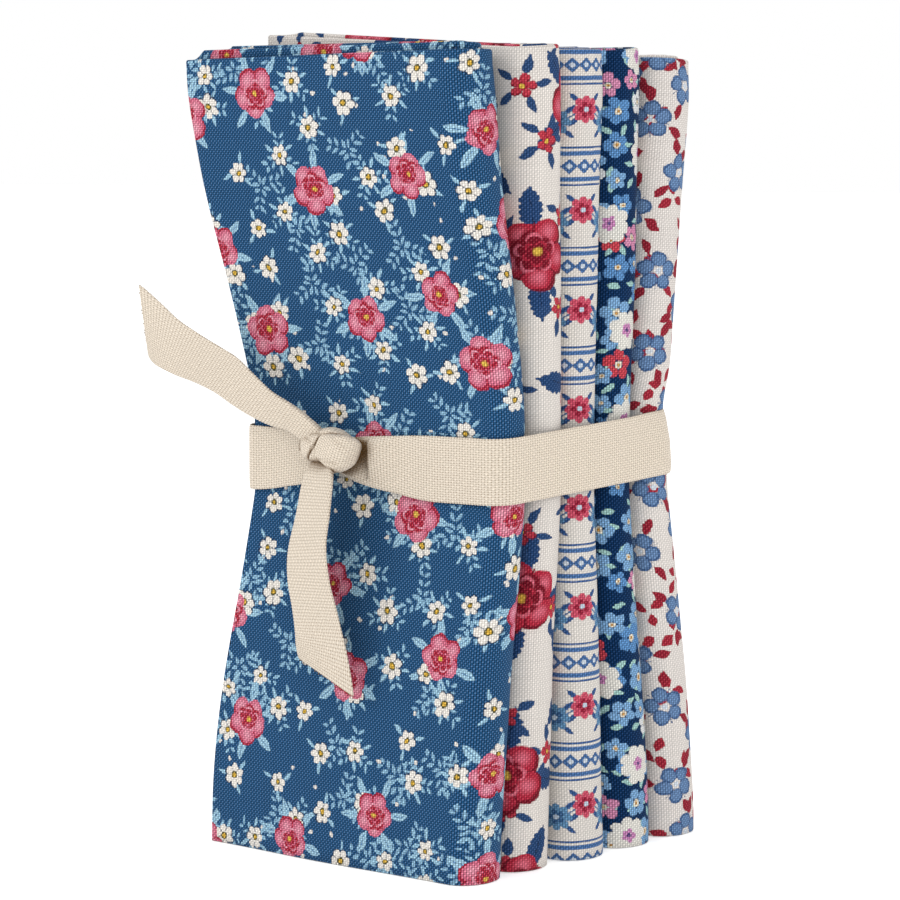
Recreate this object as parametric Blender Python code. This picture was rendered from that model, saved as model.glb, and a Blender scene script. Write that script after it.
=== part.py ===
# Fat quarter bundle: five folded cotton cuts stood on end and tied round the middle with cotton tape.
# Metres, +Z up. The front packet faces -Y, the round folds face +X and the open edges face -X.
# Each packet is one cut, folded in three up its length and then to six layers across its width.
# Its solid is the section of those layers, a little apart, which is drawn up through the height.

import math

import bpy
from mathutils import Vector

# Driving dimensions: one cut of 18 x 22 inches, and how it is folded.
CUT_LENGTH = 0.559
HEIGHT = CUT_LENGTH / 3
LAYERS = 6
LAYER_FILL = 0.76          # share of each layer's pitch that is cloth, the rest is air
EDGE_FILL = 0.6            # share of a layer's thickness left where a fold rolls over
EDGE_ROLL = 0.003          # height over which it rolls
FOLD_DEPTH = 0.8           # how far a side fold stands out, against its half thickness

# The stack is squeezed by its tape.
STACK_OPEN = 0.079         # thickness of all five packets at the top and base, at their open edges
STACK_FOLD = 0.086         # the same at their round folds
STACK_TIE = 0.0595         # thickness under the tape
FOLD_LEAN_TOP = -0.002     # how far the folds lean to the front or back, at the top and the base
FOLD_LEAN_BASE = -0.0045
TIE_Z = 0.0937
TIE_FLAT = 0.0095          # half height of the band that the tape holds flat
UPPER_SQUEEZE = (1.3, 1.5)
LOWER_SQUEEZE = (1.15, 1.45)
LEFT_TIE = (-0.0355, -0.0260)   # x of the open edges under the tape, front and back of the stack

# One row for each packet, front to back. right_* and left_* are x of the round folds and of the
# open edges. rise_* is how far the top stands over HEIGHT at each side, and step is how much
# higher the inner layers stand than the outer one.
PACKET_COLUMNS = ("name", "right_top", "right_tie", "right_base", "left_top", "left_base",
                  "rise_left", "rise_right", "step", "colour")
PACKETS = [dict(zip(PACKET_COLUMNS, row)) for row in (
    ("packet_1", 0.0345, 0.0358, 0.0382, -0.0490, -0.0438, -0.0012, 0.0005, 0.0024, (0.04, 0.13, 0.29)),
    ("packet_2", 0.0416, 0.0383, 0.0400, -0.0365, -0.0390, 0.0050, 0.0006, 0.0000, (0.80, 0.77, 0.70)),
    ("packet_3", 0.0426, 0.0404, 0.0453, -0.0350, -0.0350, 0.0010, 0.0003, 0.0006, (0.72, 0.74, 0.76)),
    ("packet_4", 0.0434, 0.0432, 0.0478, -0.0335, -0.0320, 0.0008, 0.0012, 0.0005, (0.02, 0.08, 0.21)),
    ("packet_5", 0.0470, 0.0470, 0.0514, -0.0305, -0.0290, 0.0004, -0.0012, 0.0003, (0.78, 0.72, 0.66)),
)]

# Layers in the order the cut runs through them, by place across the packet from front to back.
LAYER_ORDER = (2.5, -2.5, -1.5, 1.5, 0.5, -0.5)
LEG_STEPS = (0.0, 0.28, 0.55, 0.8, 1.0)
TURN_STEPS = {2.5: 6, 1.5: 5, 0.5: 4}
OPEN_TURN_STEPS = 4
RING_HEIGHTS = (0.0, EDGE_ROLL, 0.030, 0.060, TIE_Z - TIE_FLAT, TIE_Z + TIE_FLAT,
                0.125, 0.155, HEIGHT - EDGE_ROLL, HEIGHT)

# Tape: one piece, round the stack, knotted on the front face, with two free ends.
TAPE_WIDTH = 0.015
TAPE_THICK = 0.0011
TAPE_GAP = 0.0004
TAPE_RISE = 0.062          # slope of the band, in z for each metre of y
FOLD_CORNER = 0.0058       # corner radius of the band over the round folds
OPEN_CORNER = 0.0019       # corner radius of the band over the open edges
KNOT_X = -0.0085
GATHER_REACH = 0.026       # how far from the knot the band is drawn narrow
GATHER_WIDTH = 0.0095
CORNER_STEPS = 6
FRONT_RUN_STEPS = 9
SIDE_RUN_STEPS = 3

# Every piece of tape is drawn from flat oval sections, fuller than an ellipse.
SECTION_POINTS = 8
SECTION_FULLNESS = (0.4, 0.6)

# lean turns the tape's width from +X towards +Z and turn brings it towards the front, in degrees.
STRIP_COLUMNS = ("x", "y", "z", "width", "thick", "lean", "turn")
KNOT_ROWS = (
    (-0.0172, -0.0338, 0.0977, 0.0060, 0.0040, 80, 0),
    (-0.0152, -0.0345, 0.0970, 0.0092, 0.0070, 80, 0),
    (-0.0112, -0.0349, 0.0957, 0.0108, 0.0088, 80, 0),
    (-0.0060, -0.0349, 0.0942, 0.0110, 0.0090, 80, 0),
    (-0.0020, -0.0344, 0.0930, 0.0098, 0.0074, 80, 0),
    (0.0003, -0.0336, 0.0922, 0.0070, 0.0046, 80, 0),
)
UPPER_TAIL_ROWS = (
    (-0.0100, -0.0355, 0.0957, 0.0060, 0.0022, 52, 0),
    (-0.0165, -0.0372, 0.1007, 0.0066, 0.0018, 54, 0),
    (-0.0235, -0.0392, 0.1048, 0.0092, 0.0014, 56, 0),
    (-0.0305, -0.0407, 0.1092, 0.0112, 0.0012, 56, 0),
    (-0.0375, -0.0418, 0.1132, 0.0128, 0.0011, 57, 0),
    (-0.0465, -0.0428, 0.1180, 0.0142, 0.0011, 62, 0),
    (-0.0565, -0.0436, 0.1242, 0.0168, 0.0011, 96, 0),
)
HANGING_TAIL_ROWS = (
    (-0.0095, -0.0362, 0.0950, 0.0066, 0.0022, 2, 10),
    (-0.0100, -0.0388, 0.0895, 0.0108, 0.0016, 2, 20),
    (-0.0102, -0.0405, 0.0807, 0.0136, 0.0012, 5, 22),
    (-0.0110, -0.0417, 0.0726, 0.0150, 0.0011, 8, 20),
    (-0.0104, -0.0420, 0.0654, 0.0150, 0.0011, 4, 16),
    (-0.0088, -0.0420, 0.0590, 0.0150, 0.0011, 4, 13),
    (-0.0072, -0.0424, 0.0530, 0.0150, 0.0011, 2, 9),
    (-0.0046, -0.0434, 0.0437, 0.0178, 0.0011, -24, 5),
)
STRIP_SMOOTHING = 2        # steps between two rows of a strip

CLOTH_ROUGHNESS = 0.9
TAPE_COLOUR = (0.84, 0.76, 0.63)


def clear_scene():
    for obj in list(bpy.data.objects):
        bpy.data.objects.remove(obj, do_unlink=True)


def mix(a, b, share):
    return a + (b - a) * share


def squeeze(z):
    """How hard the tape draws the stack in at a height: 1 under the tape, 0 at both ends."""
    if z > TIE_Z:
        reach, (inner, outer) = HEIGHT - TIE_Z - TIE_FLAT, UPPER_SQUEEZE
    else:
        reach, (inner, outer) = TIE_Z - TIE_FLAT, LOWER_SQUEEZE
    away = min(1.0, max(0.0, abs(z - TIE_Z) - TIE_FLAT) / reach)
    return (1 - away ** inner) ** outer


def packet_thickness(share, z):
    """Thickness of one packet, at a share of the way from its open edge to its fold."""
    return mix(mix(STACK_OPEN, STACK_FOLD, share), STACK_TIE, squeeze(z)) / len(PACKETS)


def across_stack(index, place, share, z):
    """y of a place across a packet, in layers from its middle."""
    thickness = packet_thickness(share, z)
    lean = FOLD_LEAN_TOP if z > TIE_Z else FOLD_LEAN_BASE
    middle = (index - (len(PACKETS) - 1) / 2) * thickness
    return middle + place * thickness / LAYERS + lean * share * (1 - squeeze(z))


def right_edge(packet, z):
    end = packet["right_top"] if z > TIE_Z else packet["right_base"]
    return mix(end, packet["right_tie"], squeeze(z))


def left_edge(packet, y, z):
    """The open edges step from packet to packet, but lie along one line under the tape."""
    end = packet["left_top"] if z > TIE_Z else packet["left_base"]
    tied = mix(LEFT_TIE[0], LEFT_TIE[1], y / STACK_TIE + 0.5)
    return mix(end, tied, squeeze(z))


def layer_path(packet, index, z):
    """The cut's centre line at one height, as (x, y, place across the packet) along all layers."""
    open_pitch = packet_thickness(0, z) / LAYERS
    fold_pitch = packet_thickness(1, z) / LAYERS
    fold_x = right_edge(packet, z) - FOLD_DEPTH * fold_pitch * LAYERS / 2
    points = []
    for number, place in enumerate(LAYER_ORDER):
        left = left_edge(packet, across_stack(index, place, 0, z), z) + open_pitch * (1 + LAYER_FILL) / 2
        shares = LEG_STEPS if number % 2 == 0 else LEG_STEPS[::-1]
        points += [(mix(left, fold_x, share), across_stack(index, place, share, z), place)
                   for share in shares]
        if number == LAYERS - 1:
            break
        following = LAYER_ORDER[number + 1]
        centre = (place + following) / 2
        radius = abs(place - following) / 2
        toward = 1 if following > place else -1
        if number % 2 == 0:
            share, steps, centre_x, reach = 1, TURN_STEPS[radius], fold_x, FOLD_DEPTH * fold_pitch
        else:
            share, steps, centre_x, reach = 0, OPEN_TURN_STEPS, left, -open_pitch
        for step in range(1, steps):
            angle = math.pi * step / steps
            across = centre - toward * radius * math.cos(angle)
            x = centre_x + reach * radius * math.sin(angle)
            points.append((x, across_stack(index, across, share, z), across))
    return points


def ring_outline(packet, index, ring):
    """Both faces of the cloth at one ring, down one side of the centre line and back up the other."""
    base_z = RING_HEIGHTS[ring]
    at_end = ring in (0, len(RING_HEIGHTS) - 1)
    path = layer_path(packet, index, base_z)
    half = packet_thickness(0, base_z) / LAYERS * LAYER_FILL / 2 * (EDGE_FILL if at_end else 1)
    lift_share = max(0.0, (base_z - TIE_Z) / (HEIGHT - TIE_Z)) ** 2
    one_side, other_side = [], []
    for number, (x, y, place) in enumerate(path):
        before = path[max(number - 1, 0)]
        after = path[min(number + 1, len(path) - 1)]
        along = Vector((after[0] - before[0], after[1] - before[1])).normalized()
        sideways = Vector((along.y, -along.x)) * half
        left, right = packet["left_top"], packet["right_top"]
        rise = mix(packet["rise_left"], packet["rise_right"], (x - left) / (right - left))
        rise += packet["step"] * min(1.0, LAYER_ORDER[0] - abs(place))
        z = base_z + rise * lift_share
        one_side.append(Vector((x + sideways.x, y + sideways.y, z)))
        other_side.append(Vector((x - sideways.x, y - sideways.y, z)))
    return one_side + other_side[::-1]


def mesh_object(name, points, faces, colour):
    mesh = bpy.data.meshes.new(name)
    mesh.from_pydata(points, [], faces)
    mesh.update()
    obj = bpy.data.objects.new(name, mesh)
    bpy.context.collection.objects.link(obj)
    obj.data.materials.append(cloth_material(name, colour))
    return obj


def cloth_material(name, colour):
    material = bpy.data.materials.new(name + "_cloth")
    material.use_nodes = True
    shader = material.node_tree.nodes["Principled BSDF"]
    shader.inputs["Base Color"].default_value = (*colour, 1)
    shader.inputs["Roughness"].default_value = CLOTH_ROUGHNESS
    shader.inputs["Metallic"].default_value = 0
    return material


def make_packet(packet, index):
    rings = [ring_outline(packet, index, ring) for ring in range(len(RING_HEIGHTS))]
    count = len(rings[0])
    points = [point for ring in rings for point in ring]
    faces = []
    for ring in range(len(rings) - 1):
        for number in range(count):
            near, far = ring * count + number, ring * count + (number + 1) % count
            faces.append((near, far, far + count, near + count))
    top = (len(rings) - 1) * count
    for number in range(count // 2 - 1):
        quad = (number, number + 1, count - 2 - number, count - 1 - number)
        faces.append(quad[::-1])
        faces.append(tuple(top + corner for corner in quad))
    return mesh_object(packet["name"], points, faces, packet["colour"])


def strip_section(centre, across, normal, width, thick):
    """Points round the tape at one place."""
    points = []
    wide_power, thick_power = SECTION_FULLNESS
    for number in range(SECTION_POINTS):
        angle = 2 * math.pi * (number + 0.5) / SECTION_POINTS
        cosine, sine = math.cos(angle), math.sin(angle)
        wide = math.copysign(abs(cosine) ** wide_power, cosine) * width / 2
        deep = math.copysign(abs(sine) ** thick_power, sine) * thick / 2
        points.append(centre + across * wide + normal * deep)
    return points


def strip_object(name, sections, closed):
    count = SECTION_POINTS
    points = [point for section in sections for point in section]
    faces = []
    for number in range(len(sections) if closed else len(sections) - 1):
        here, there = number * count, (number + 1) % len(sections) * count
        for side in range(count):
            following = (side + 1) % count
            faces.append((here + side, here + following, there + following, there + side))
    if not closed:
        last = (len(sections) - 1) * count
        faces.append(tuple(range(count))[::-1])
        faces.append(tuple(last + side for side in range(count)))
    return mesh_object(name, points, faces, TAPE_COLOUR)


def smooth_rows(rows):
    """Rows on a smooth curve through the given ones."""
    result = []
    for number in range(len(rows) - 1):
        before = rows[max(number - 1, 0)]
        start, end = rows[number], rows[number + 1]
        after = rows[min(number + 2, len(rows) - 1)]
        for step in range(STRIP_SMOOTHING):
            t = step / STRIP_SMOOTHING
            result.append(tuple(
                0.5 * (2 * b + (c - a) * t + (2 * a - 5 * b + 4 * c - d) * t ** 2
                       + (3 * b - a - 3 * c + d) * t ** 3)
                for a, b, c, d in zip(before, start, end, after)))
    return result + [rows[-1]]


def make_strip(name, table):
    rows = [dict(zip(STRIP_COLUMNS, row)) for row in smooth_rows(table)]
    centres = [Vector((row["x"], row["y"], row["z"])) for row in rows]
    sections = []
    for number, row in enumerate(rows):
        along = centres[min(number + 1, len(rows) - 1)] - centres[max(number - 1, 0)]
        lean, turn = math.radians(row["lean"]), math.radians(row["turn"])
        across = Vector((math.cos(lean) * math.cos(turn), -math.sin(turn), math.sin(lean) * math.cos(turn)))
        normal = across.cross(along).normalized()
        sections.append(strip_section(centres[number], across, normal, row["width"], row["thick"]))
    return strip_object(name, sections, closed=False)


def band_corners():
    """Corner circles that the band runs round, anticlockwise from the front left one."""
    half = STACK_TIE / 2
    stand_off = TAPE_GAP + TAPE_THICK / 2
    first, last = PACKETS[0]["right_tie"], PACKETS[-1]["right_tie"]
    fold, opening = FOLD_CORNER, OPEN_CORNER
    return (
        (LEFT_TIE[0] + opening, -half + opening, opening + stand_off),
        (first - fold, -half + fold, fold + stand_off),
        (last - fold, half - fold, fold + stand_off),
        (LEFT_TIE[1] + opening, half - opening, opening + stand_off),
    )


def band_route():
    """The band's centre line, from above: arcs round the corners and straight runs between."""
    corners = band_corners()
    headings = []
    for number, (x, y, radius) in enumerate(corners):
        next_x, next_y, next_radius = corners[(number + 1) % 4]
        span = math.hypot(next_x - x, next_y - y)
        headings.append(math.atan2(next_y - y, next_x - x) - math.asin((next_radius - radius) / span))
    route = []
    for number, (x, y, radius) in enumerate(corners):
        arriving, leaving = headings[number - 1], headings[number]
        turn = (leaving - arriving) % (2 * math.pi)
        for step in range(CORNER_STEPS + 1):
            angle = arriving + turn * step / CORNER_STEPS - math.pi / 2
            route.append((x + radius * math.cos(angle), y + radius * math.sin(angle)))
        next_x, next_y, next_radius = corners[(number + 1) % 4]
        angle = leaving - math.pi / 2
        end = (next_x + next_radius * math.cos(angle), next_y + next_radius * math.sin(angle))
        runs = FRONT_RUN_STEPS if number == 0 else SIDE_RUN_STEPS
        start = route[-1]
        route += [(mix(start[0], end[0], run / runs), mix(start[1], end[1], run / runs))
                  for run in range(1, runs)]
    return route


def make_band(name):
    route = band_route()
    sections = []
    for number, (x, y) in enumerate(route):
        before, after = route[number - 1], route[(number + 1) % len(route)]
        along = Vector((after[0] - before[0], after[1] - before[1], 0)).normalized()
        normal = Vector((along.y, -along.x, 0))
        away = min(1.0, abs(x - KNOT_X) / GATHER_REACH) if y < -STACK_TIE / 2 else 1.0
        width = mix(GATHER_WIDTH, TAPE_WIDTH, away * away * (3 - 2 * away))
        centre = Vector((x, y, TIE_Z + TAPE_RISE * y))
        sections.append(strip_section(centre, Vector((0, 0, 1)), -normal, width, TAPE_THICK))
    return strip_object(name, sections, closed=True)


def join_solids(whole, others):
    """Fuse the others into the first object, so that one closed body is left."""
    for other in others:
        union = whole.modifiers.new(other.name, "BOOLEAN")
        union.operation = "UNION"
        union.solver = "EXACT"
        union.object = other
        bpy.context.view_layer.update()
        fused = bpy.data.meshes.new_from_object(whole.evaluated_get(bpy.context.evaluated_depsgraph_get()))
        whole.modifiers.clear()
        whole.data = fused
        bpy.data.objects.remove(other, do_unlink=True)
    return whole


def make_tape():
    band = make_band("tape")
    knot = make_strip("tape_knot", KNOT_ROWS)
    upper = make_strip("tape_upper_tail", UPPER_TAIL_ROWS)
    hanging = make_strip("tape_hanging_tail", HANGING_TAIL_ROWS)
    return join_solids(band, [knot, upper, hanging])


def stand_on_origin(objects):
    """Move every point so that the origin is the bottom centre of the whole bundle's box."""
    points = [obj.matrix_world @ vertex.co for obj in objects for vertex in obj.data.vertices]
    low = [min(point[axis] for point in points) for axis in range(3)]
    high = [max(point[axis] for point in points) for axis in range(3)]
    shift = Vector((-(low[0] + high[0]) / 2, -(low[1] + high[1]) / 2, -low[2]))
    for obj in objects:
        for vertex in obj.data.vertices:
            vertex.co += shift


def main():
    clear_scene()
    pieces = [make_packet(packet, index) for index, packet in enumerate(PACKETS)]
    pieces.append(make_tape())
    stand_on_origin(pieces)


main()
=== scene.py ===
# Fat quarter bundle: five printed cotton cuts, folded, stood on end and tied with cotton tape.
# Metres, +Z up. The front packet faces -Y, the round folds face +X and the open edges face -X.
import math

import bpy
import numpy as np
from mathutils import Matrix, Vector


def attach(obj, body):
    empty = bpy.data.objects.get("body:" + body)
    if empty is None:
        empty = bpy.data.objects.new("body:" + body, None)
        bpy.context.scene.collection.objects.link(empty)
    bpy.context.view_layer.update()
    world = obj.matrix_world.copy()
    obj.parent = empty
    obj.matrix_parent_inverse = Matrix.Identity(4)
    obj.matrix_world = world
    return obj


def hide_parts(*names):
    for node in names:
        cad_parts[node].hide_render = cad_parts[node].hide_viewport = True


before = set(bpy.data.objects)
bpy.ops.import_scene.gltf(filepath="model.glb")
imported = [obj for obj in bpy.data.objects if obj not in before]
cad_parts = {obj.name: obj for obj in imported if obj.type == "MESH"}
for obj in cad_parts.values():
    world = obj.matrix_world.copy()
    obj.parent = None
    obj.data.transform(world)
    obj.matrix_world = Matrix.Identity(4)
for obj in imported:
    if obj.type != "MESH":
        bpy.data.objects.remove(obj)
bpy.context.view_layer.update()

# How the stack is folded and squeezed, as in the frame's solids.
bundle = {
    "cutWidth": 0.457,
    "cutLength": 0.559,
    "height": 0.559 / 3,
    "packets": 5,
    "layers": 6,
    "layerFill": 0.76,  # share of each layer's pitch that is cloth
    "foldDepth": 0.8,  # how far a side fold stands out, against its half thickness
    "stackOpen": 0.079,  # thickness of the stack at its open edges
    "stackFold": 0.086,  # and at its round folds
    "stackTie": 0.0595,  # and under the tape
    "leanTop": -0.002,  # how far the round folds lean to the front, at the top and at the base
    "leanBase": -0.0045,
    "tieZ": 0.0937,
    "tieFlat": 0.0095,  # half the height that the tape presses flat
    "upperSqueeze": (1.3, 1.5),  # powers that shape the swell above the tape and below it
    "lowerSqueeze": (1.15, 1.45),
    "leftTie": (-0.0355, -0.0260),  # open edges under the tape, at the front and at the back
    "layerOrder": (2.5, -2.5, -1.5, 1.5, 0.5, -0.5),  # each layer's place, in the order the cut runs
    "standShift": (0.0031, 0.0032, 0.0),  # from the folds' plan to the middle of the bundle's box
}


def between(a, b, share):
    return a + (b - a) * share


def eased(share):
    share = np.clip(share, 0, 1)
    return share * share * (3 - 2 * share)


def squeeze(z):
    # 1 under the tape, 0 at the top and the base
    above = z > bundle["tieZ"]
    lower = bundle["tieZ"] - bundle["tieFlat"]
    reach = np.where(above, bundle["height"] - bundle["tieZ"] - bundle["tieFlat"], lower)
    inner = np.where(above, bundle["upperSqueeze"][0], bundle["lowerSqueeze"][0])
    outer = np.where(above, bundle["upperSqueeze"][1], bundle["lowerSqueeze"][1])
    away = np.clip((np.abs(z - bundle["tieZ"]) - bundle["tieFlat"]) / reach, 0, 1)
    return (1 - away ** inner) ** outer


def packetThickness(share, z):
    loose = between(bundle["stackOpen"], bundle["stackFold"], share)
    return between(loose, bundle["stackTie"], squeeze(z)) / bundle["packets"]


def acrossStack(index, place, share, z):
    thickness = packetThickness(share, z)
    lean = np.where(z > bundle["tieZ"], bundle["leanTop"], bundle["leanBase"])
    middle = (index - (bundle["packets"] - 1) / 2) * thickness
    return middle + place * thickness / bundle["layers"] + lean * share * (1 - squeeze(z))


def waves(a, b, seed, longest=0.09, shortest=0.03, count=6):
    # a soft random swell over two directions, about -1 to 1
    rng = np.random.default_rng(seed)
    total = 0
    for _ in range(count):
        length = rng.uniform(shortest, longest)
        heading = rng.uniform(0, math.tau)
        phase = rng.uniform(0, math.tau)
        total = total + np.sin(math.tau * (a * math.cos(heading) + b * math.sin(heading)) / length + phase)
    return total / count ** 0.5 / 1.3


def placed(name, data):
    made = bpy.data.objects.new(name, data)
    bpy.context.scene.collection.objects.link(made)
    return made


def gridObject(name, points, uv, material, loop=False, tube=False):
    # a mesh over rows and columns of points: loop joins the last row to the first, tube the last column,
    # with one more row or column of cloth coordinates than of points there. An open tube gets flat ends.
    rows, columns = points.shape[:2]
    row, column = np.meshgrid(np.arange(rows - (not loop)), np.arange(columns - (not tube)), indexing="ij")
    corners = ((0, 0), (0, 1), (1, 1), (1, 0))
    faces = [(row + up) % rows * columns + (column + side) % columns for up, side in corners]
    spots = [(row + up) * uv.shape[1] + column + side for up, side in corners]
    faces = np.stack(faces, -1).reshape(-1, 4).tolist()
    spots = np.stack(spots, -1).ravel()
    if tube and not loop:
        last = (rows - 1) * columns
        faces += [list(range(columns))[::-1], [last + spot for spot in range(columns)]]
        spots = np.concatenate([spots, np.zeros(columns, int), np.full(columns, len(uv) * uv.shape[1] - 1)])
    mesh = bpy.data.meshes.new(name)
    mesh.from_pydata((points + np.array(bundle["standShift"])).reshape(-1, 3).tolist(), [], faces)
    layer = mesh.uv_layers.new(name="cloth")
    layer.data.foreach_set("uv", uv.reshape(-1, 2)[spots].astype(np.float32).ravel())
    mesh.shade_smooth()
    if tube:
        mesh.set_sharp_from_angle(angle=math.radians(50))
    mesh.materials.append(material)
    return placed(name, mesh)


def creased(creases, a, b):
    # the depth of soft troughs, each along a line between two places, as start, end, depth and half width
    total = 0
    for startA, startB, endA, endB, depth, width in creases:
        runA, runB = endA - startA, endB - startB
        share = np.clip(((a - startA) * runA + (b - startB) * runB) / (runA ** 2 + runB ** 2), 0, 1)
        away = np.hypot(a - startA - share * runA, b - startB - share * runB)
        total = total + depth * np.exp(-(away / width) ** 2)
    return total


class Signal:
    # a shader socket that Python's operators work on
    def __init__(self, board, socket):
        self.board = board
        self.socket = socket

    def __add__(self, other):
        return self.board.maths("ADD", self, other)

    __radd__ = __add__

    def __sub__(self, other):
        return self.board.maths("SUBTRACT", self, other)

    def __rsub__(self, other):
        return self.board.maths("SUBTRACT", other, self)

    def __mul__(self, other):
        return self.board.maths("MULTIPLY", self, other)

    __rmul__ = __mul__

    def __truediv__(self, other):
        return self.board.maths("DIVIDE", self, other)

    def __rtruediv__(self, other):
        return self.board.maths("DIVIDE", other, self)

    def __abs__(self):
        return self.board.maths("ABSOLUTE", self)

    def __gt__(self, other):
        return self.board.maths("GREATER_THAN", self, other)

    def __lt__(self, other):
        return self.board.maths("LESS_THAN", self, other)


def paint(code):
    # linear colour from a hex code
    values = [int(code[start:start + 2], 16) / 255 for start in (1, 3, 5)]
    linear = [value / 12.92 if value <= 0.04045 else ((value + 0.055) / 1.055) ** 2.4 for value in values]
    return (*linear, 1.0)


def fillRamp(ramp, stops):
    ramp.interpolation = "CONSTANT"
    while len(ramp.elements) < len(stops):
        ramp.elements.new(1.0)
    for element, (position, code) in zip(ramp.elements, stops):
        element.position = position
        element.color = paint(code)


class Board:
    # one material's node tree
    def __init__(self, name):
        self.material = bpy.data.materials.new(name)
        self.material.use_nodes = True
        self.tree = self.material.node_tree
        self.shader = self.tree.nodes["Principled BSDF"]

    def feed(self, made, sockets):
        for key, value in sockets.items():
            if isinstance(value, Signal):
                self.tree.links.new(value.socket, made.inputs[key])
            else:
                made.inputs[key].default_value = value

    def node(self, kind, settings, sockets, outputs=(0,)):
        made = self.tree.nodes.new("ShaderNode" + kind)
        for name, value in settings.items():
            if name == "stops":
                fillRamp(made.color_ramp, value)
            else:
                setattr(made, name, value)
        self.feed(made, sockets)
        found = [Signal(self, made.outputs[key]) for key in outputs]
        return found[0] if len(found) == 1 else found

    def maths(self, operation, *values, clamp=False):
        return self.node("Math", {"operation": operation, "use_clamp": clamp}, dict(enumerate(values)))

    def vector(self, operation, *values, scale=None):
        sockets = dict(enumerate(values))
        if scale is not None:
            sockets[3] = scale
        output = 1 if operation in ("LENGTH", "DISTANCE", "DOT_PRODUCT") else 0
        return self.node("VectorMath", {"operation": operation}, sockets, (output,))

    def mix(self, share, first, second):
        settings = {"data_type": "RGBA", "blend_type": "MIX"}
        return self.node("Mix", settings, {0: share, 6: first, 7: second}, (2,))

    def parts(self, vector):
        return self.node("SeparateXYZ", {}, {0: vector}, (0, 1, 2))

    def joined(self, x, y):
        return self.node("CombineXYZ", {}, {0: x, 1: y})

    def clothSpot(self):
        # the place on the flat cloth, in millimetres
        return self.vector("SCALE", self.node("UVMap", {"uv_map": "cloth"}, {}), scale=1000.0)

    def unsteady(self, place, spot, scale, reach):
        # the place moved about a little, unevenly over the cloth
        noise = self.node("TexNoise", {}, {"Vector": spot, "Scale": scale}, ("Color",))
        noise = self.vector("SUBTRACT", noise, (0.5, 0.5, 0.5))
        return self.vector("ADD", place, self.vector("SCALE", noise, scale=reach))

    def woven(self, colour, solid, crossing, cloth):
        # the shader of a woven cloth with raised threads
        bump = self.node("Bump", {}, {"Strength": cloth["bump"], "Distance": cloth["bumpDepth"],
                                      "Height": solid + cloth["crownBump"] * crossing})
        self.feed(self.shader, {"Base Color": colour, "Normal": bump, "Roughness": cloth["roughness"],
                                "Specular IOR Level": cloth["shine"], "Sheen Weight": cloth["sheen"]})
        return self.material


cotton = {
    "thickness": 0.00034,
    "warp": 0.52,  # millimetres between threads
    "weft": 0.50,
    "inkStep": 0.4,  # how far the print's outlines follow whole threads
    "handScale": 0.3,  # how many times the outlines waver in a millimetre
    "threadShade": 0.62,  # darkening between threads
    "threadMean": 0.44,  # its share over the whole cloth
    "overUnder": 0.24,
    "twist": 0.66,  # how far the yarn draws the crowns out along one diagonal
    "lineShade": 0.28,  # darker lines between the upright threads
    "lineMean": 0.23,
    "paleCover": 0.68,  # how much of the weave pale ink hides
    "tone": 0.70,
    "streaks": 0.22,
    "streakStretches": ((0.9, 0.03, 0), (0.03, 0.9, 0)),  # along the upright and the cross threads
    "bare": "#e8e4dc",
    "bump": 0.4,
    "bumpDepth": 0.00012,
    "crownBump": 0.4,
    "roughness": 0.86,
    "shine": 0.06,
    "sheen": 0.02,
}
drawing = {
    "blossomRadius": 6.3,  # millimetres, the size that a blossom's own numbers are for
    "daisyRadius": 2.75,
    "scallopTurn": 2.1,  # radians for each millimetre along a scalloped leaf
    "leafletWidth": 0.46,  # of a frond's leaflet, against its length
    "leafletSlant": 0.707,
}


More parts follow.
